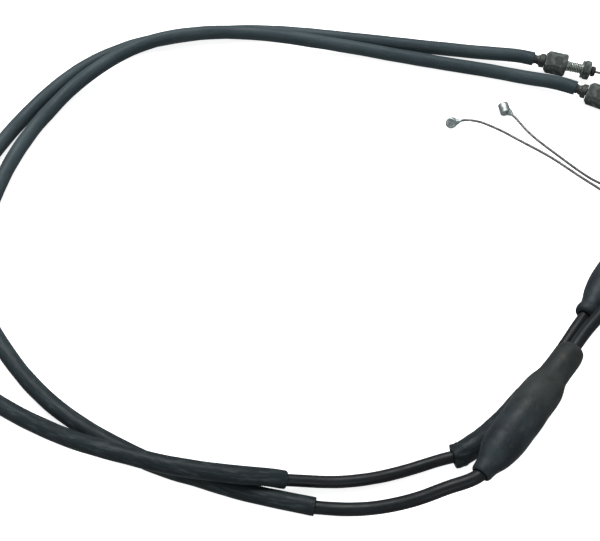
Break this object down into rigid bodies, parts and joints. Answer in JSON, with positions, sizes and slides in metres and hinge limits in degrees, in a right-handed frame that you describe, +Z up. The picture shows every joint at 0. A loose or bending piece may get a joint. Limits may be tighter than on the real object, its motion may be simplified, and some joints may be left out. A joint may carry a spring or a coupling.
{
  "type": "motorcycle throttle cable pair",
  "caption": "Pull and return throttle cables lying loose: sleeved casings with carburettor adjusters, rubber boots, elbows and barrel nipples.",
  "frame": {"origin": "on the surface that the cables lie on, under the middle of the pair's bounding box", "axes": "+X along the longest extent, towards the fittings, +Y across the loop towards the carburettor ends, +Z up"},
  "size_m": [0.4053, 0.3024, 0.0278],
  "materials": {
    "sleeve_plastic": "satin blue-grey charcoal vinyl",
    "casing_plastic": "satin black plastic",
    "boot_rubber": "matte, dusty",
    "cap_rubber": "matte",
    "plated_steel": "zinc plate, dull and dirty",
    "ferrule_steel": "plated, a little rusty",
    "nipple_zinc": "bright zinc",
    "wire_steel": "stranded steel wire"
  },
  "bodies": {
    "cables": {"pull_sleeve": "sleeve_plastic", "pull_lower_casing": "casing_plastic", "pull_protector": "sleeve_plastic", "pull_carb_ferrule": "ferrule_steel", "pull_inline_ferrule": "ferrule_steel", "pull_inline_screw": "plated_steel", "pull_elbow": "plated_steel", "return_sleeve": "sleeve_plastic", "return_lower_casing": "casing_plastic", "return_carb_ferrule": "ferrule_steel", "return_inline_ferrule": "ferrule_steel", "return_inline_screw": "plated_steel", "return_inline_upper_ferrule": "ferrule_steel", "return_upper_casing": "casing_plastic", "return_elbow_ferrule": "ferrule_steel", "return_elbow": "plated_steel"},
    "pull_throttle_end": {"pull_throttle_wire": "wire_steel", "pull_throttle_nipple": "nipple_zinc"},
    "pull_carb_end": {"pull_carb_wire": "wire_steel", "pull_carb_nipple": "nipple_zinc"},
    "pull_adjuster_turning": {"pull_adjuster": "plated_steel", "pull_end_cap": "cap_rubber"},
    "pull_washer_sliding": {"pull_washer": "plated_steel"},
    "pull_lock_nut_turning": {"pull_lock_nut": "plated_steel"},
    "pull_boot_sliding": {"pull_boot": "boot_rubber"},
    "pull_inline_nut_turning": {"pull_inline_nut": "plated_steel"},
    "pull_inline_barrel_turning": {"pull_inline_barrel": "plated_steel"},
    "pull_elbow_nut_turning": {"pull_elbow_nut": "plated_steel"},
    "return_throttle_end": {"return_throttle_wire": "wire_steel", "return_throttle_nipple": "nipple_zinc"},
    "return_carb_end": {"return_carb_wire": "wire_steel", "return_carb_nipple": "nipple_zinc"},
    "return_adjuster_turning": {"return_adjuster": "plated_steel", "return_end_cap": "cap_rubber"},
    "return_washer_sliding": {"return_washer": "plated_steel"},
    "return_lock_nut_turning": {"return_lock_nut": "plated_steel"},
    "return_boot_sliding": {"return_boot": "boot_rubber"},
    "return_inline_nut_turning": {"return_inline_nut": "plated_steel"},
    "return_inline_barrel_turning": {"return_inline_barrel": "plated_steel"},
    "return_elbow_nut_turning": {"return_elbow_nut": "plated_steel"}
  },
  "joints": [
    {"name": "pull_wire_out", "type": "slide", "parent": "cables", "child": "pull_throttle_end", "axis": [-0.8988, 0.4384, 0], "range_m": [0, 0.02]},
    {"name": "pull_wire_in", "type": "slide", "parent": "cables", "child": "pull_carb_end", "axis": [-0.9542, 0.299, 0], "range_m": [0, 0.02]},
    {"name": "pull_adjuster_swivel", "type": "hinge", "parent": "cables", "child": "pull_adjuster_turning", "pos_m": [0.1257, 0.1205, 0.007], "axis": [0.9542, -0.299, 0], "continuous": true},
    {"name": "pull_washer_along_stud", "type": "slide", "parent": "pull_adjuster_turning", "child": "pull_washer_sliding", "axis": [-0.9542, 0.299, 0], "range_m": [0, 0.0085]},
    {"name": "pull_lock_nut_turn", "type": "hinge", "parent": "pull_washer_sliding", "child": "pull_lock_nut_turning", "pos_m": [0.1257, 0.1205, 0.007], "axis": [-0.9542, 0.299, 0], "range_deg": [0, 3060]},
    {"name": "pull_boot_slide", "type": "slide", "parent": "cables", "child": "pull_boot_sliding", "axis": [-0.6184, -0.7859, 0], "range_m": [0, 0.008]},
    {"name": "pull_inline_nut_turn", "type": "hinge", "parent": "cables", "child": "pull_inline_nut_turning", "pos_m": [0.1234, -0.0556, 0.0095], "axis": [0.6184, 0.7859, 0], "continuous": true},
    {"name": "pull_inline_barrel_turn", "type": "hinge", "parent": "cables", "child": "pull_inline_barrel_turning", "pos_m": [0.1234, -0.0556, 0.0095], "axis": [0.6184, 0.7859, 0], "continuous": true},
    {"name": "pull_elbow_nut_turn", "type": "hinge", "parent": "cables", "child": "pull_elbow_nut_turning", "pos_m": [0.17547, 0.01057, 0.0095], "axis": [-0.8988, 0.4384, 0], "continuous": true},
    {"name": "return_wire_out", "type": "slide", "parent": "cables", "child": "return_throttle_end", "axis": [-0.6428, 0.766, 0], "range_m": [0, 0.02]},
    {"name": "return_wire_in", "type": "slide", "parent": "cables", "child": "return_carb_end", "axis": [-0.8829, 0.4695, 0], "range_m": [0, 0.02]},
    {"name": "return_adjuster_swivel", "type": "hinge", "parent": "cables", "child": "return_adjuster_turning", "pos_m": [0.1466, 0.0964, 0.007], "axis": [0.8829, -0.4695, 0], "continuous": true},
    {"name": "return_washer_along_stud", "type": "slide", "parent": "return_adjuster_turning", "child": "return_washer_sliding", "axis": [-0.8829, 0.4695, 0], "range_m": [0, 0.0085]},
    {"name": "return_lock_nut_turn", "type": "hinge", "parent": "return_washer_sliding", "child": "return_lock_nut_turning", "pos_m": [0.1466, 0.0964, 0.007], "axis": [-0.8829, 0.4695, 0], "range_deg": [0, 3060]},
    {"name": "return_boot_slide", "type": "slide", "parent": "cables", "child": "return_boot_sliding", "axis": [0.6401, 0.7683, 0], "range_m": [0, 0.008]},
    {"name": "return_inline_nut_turn", "type": "hinge", "parent": "cables", "child": "return_inline_nut_turning", "pos_m": [0.0627, -0.1367, 0.0189], "axis": [0.6401, 0.7683, 0], "continuous": true},
    {"name": "return_inline_barrel_turn", "type": "hinge", "parent": "cables", "child": "return_inline_barrel_turning", "pos_m": [0.0627, -0.1367, 0.0189], "axis": [0.6401, 0.7683, 0], "continuous": true},
    {"name": "return_elbow_nut_turn", "type": "hinge", "parent": "cables", "child": "return_elbow_nut_turning", "pos_m": [0.1665, -0.0177, 0.0201], "axis": [-0.6428, 0.766, 0], "continuous": true}
  ],
  "couplings": [
    {"joint": "pull_wire_in", "follows": "pull_wire_out", "ratio": 1},
    {"joint": "return_wire_in", "follows": "return_wire_out", "ratio": 1},
    {"joint": "pull_lock_nut_turn", "follows": "pull_washer_along_stud", "rad_per_m": 6283.2},
    {"joint": "return_lock_nut_turn", "follows": "return_washer_along_stud", "rad_per_m": 6283.2}
  ]
}
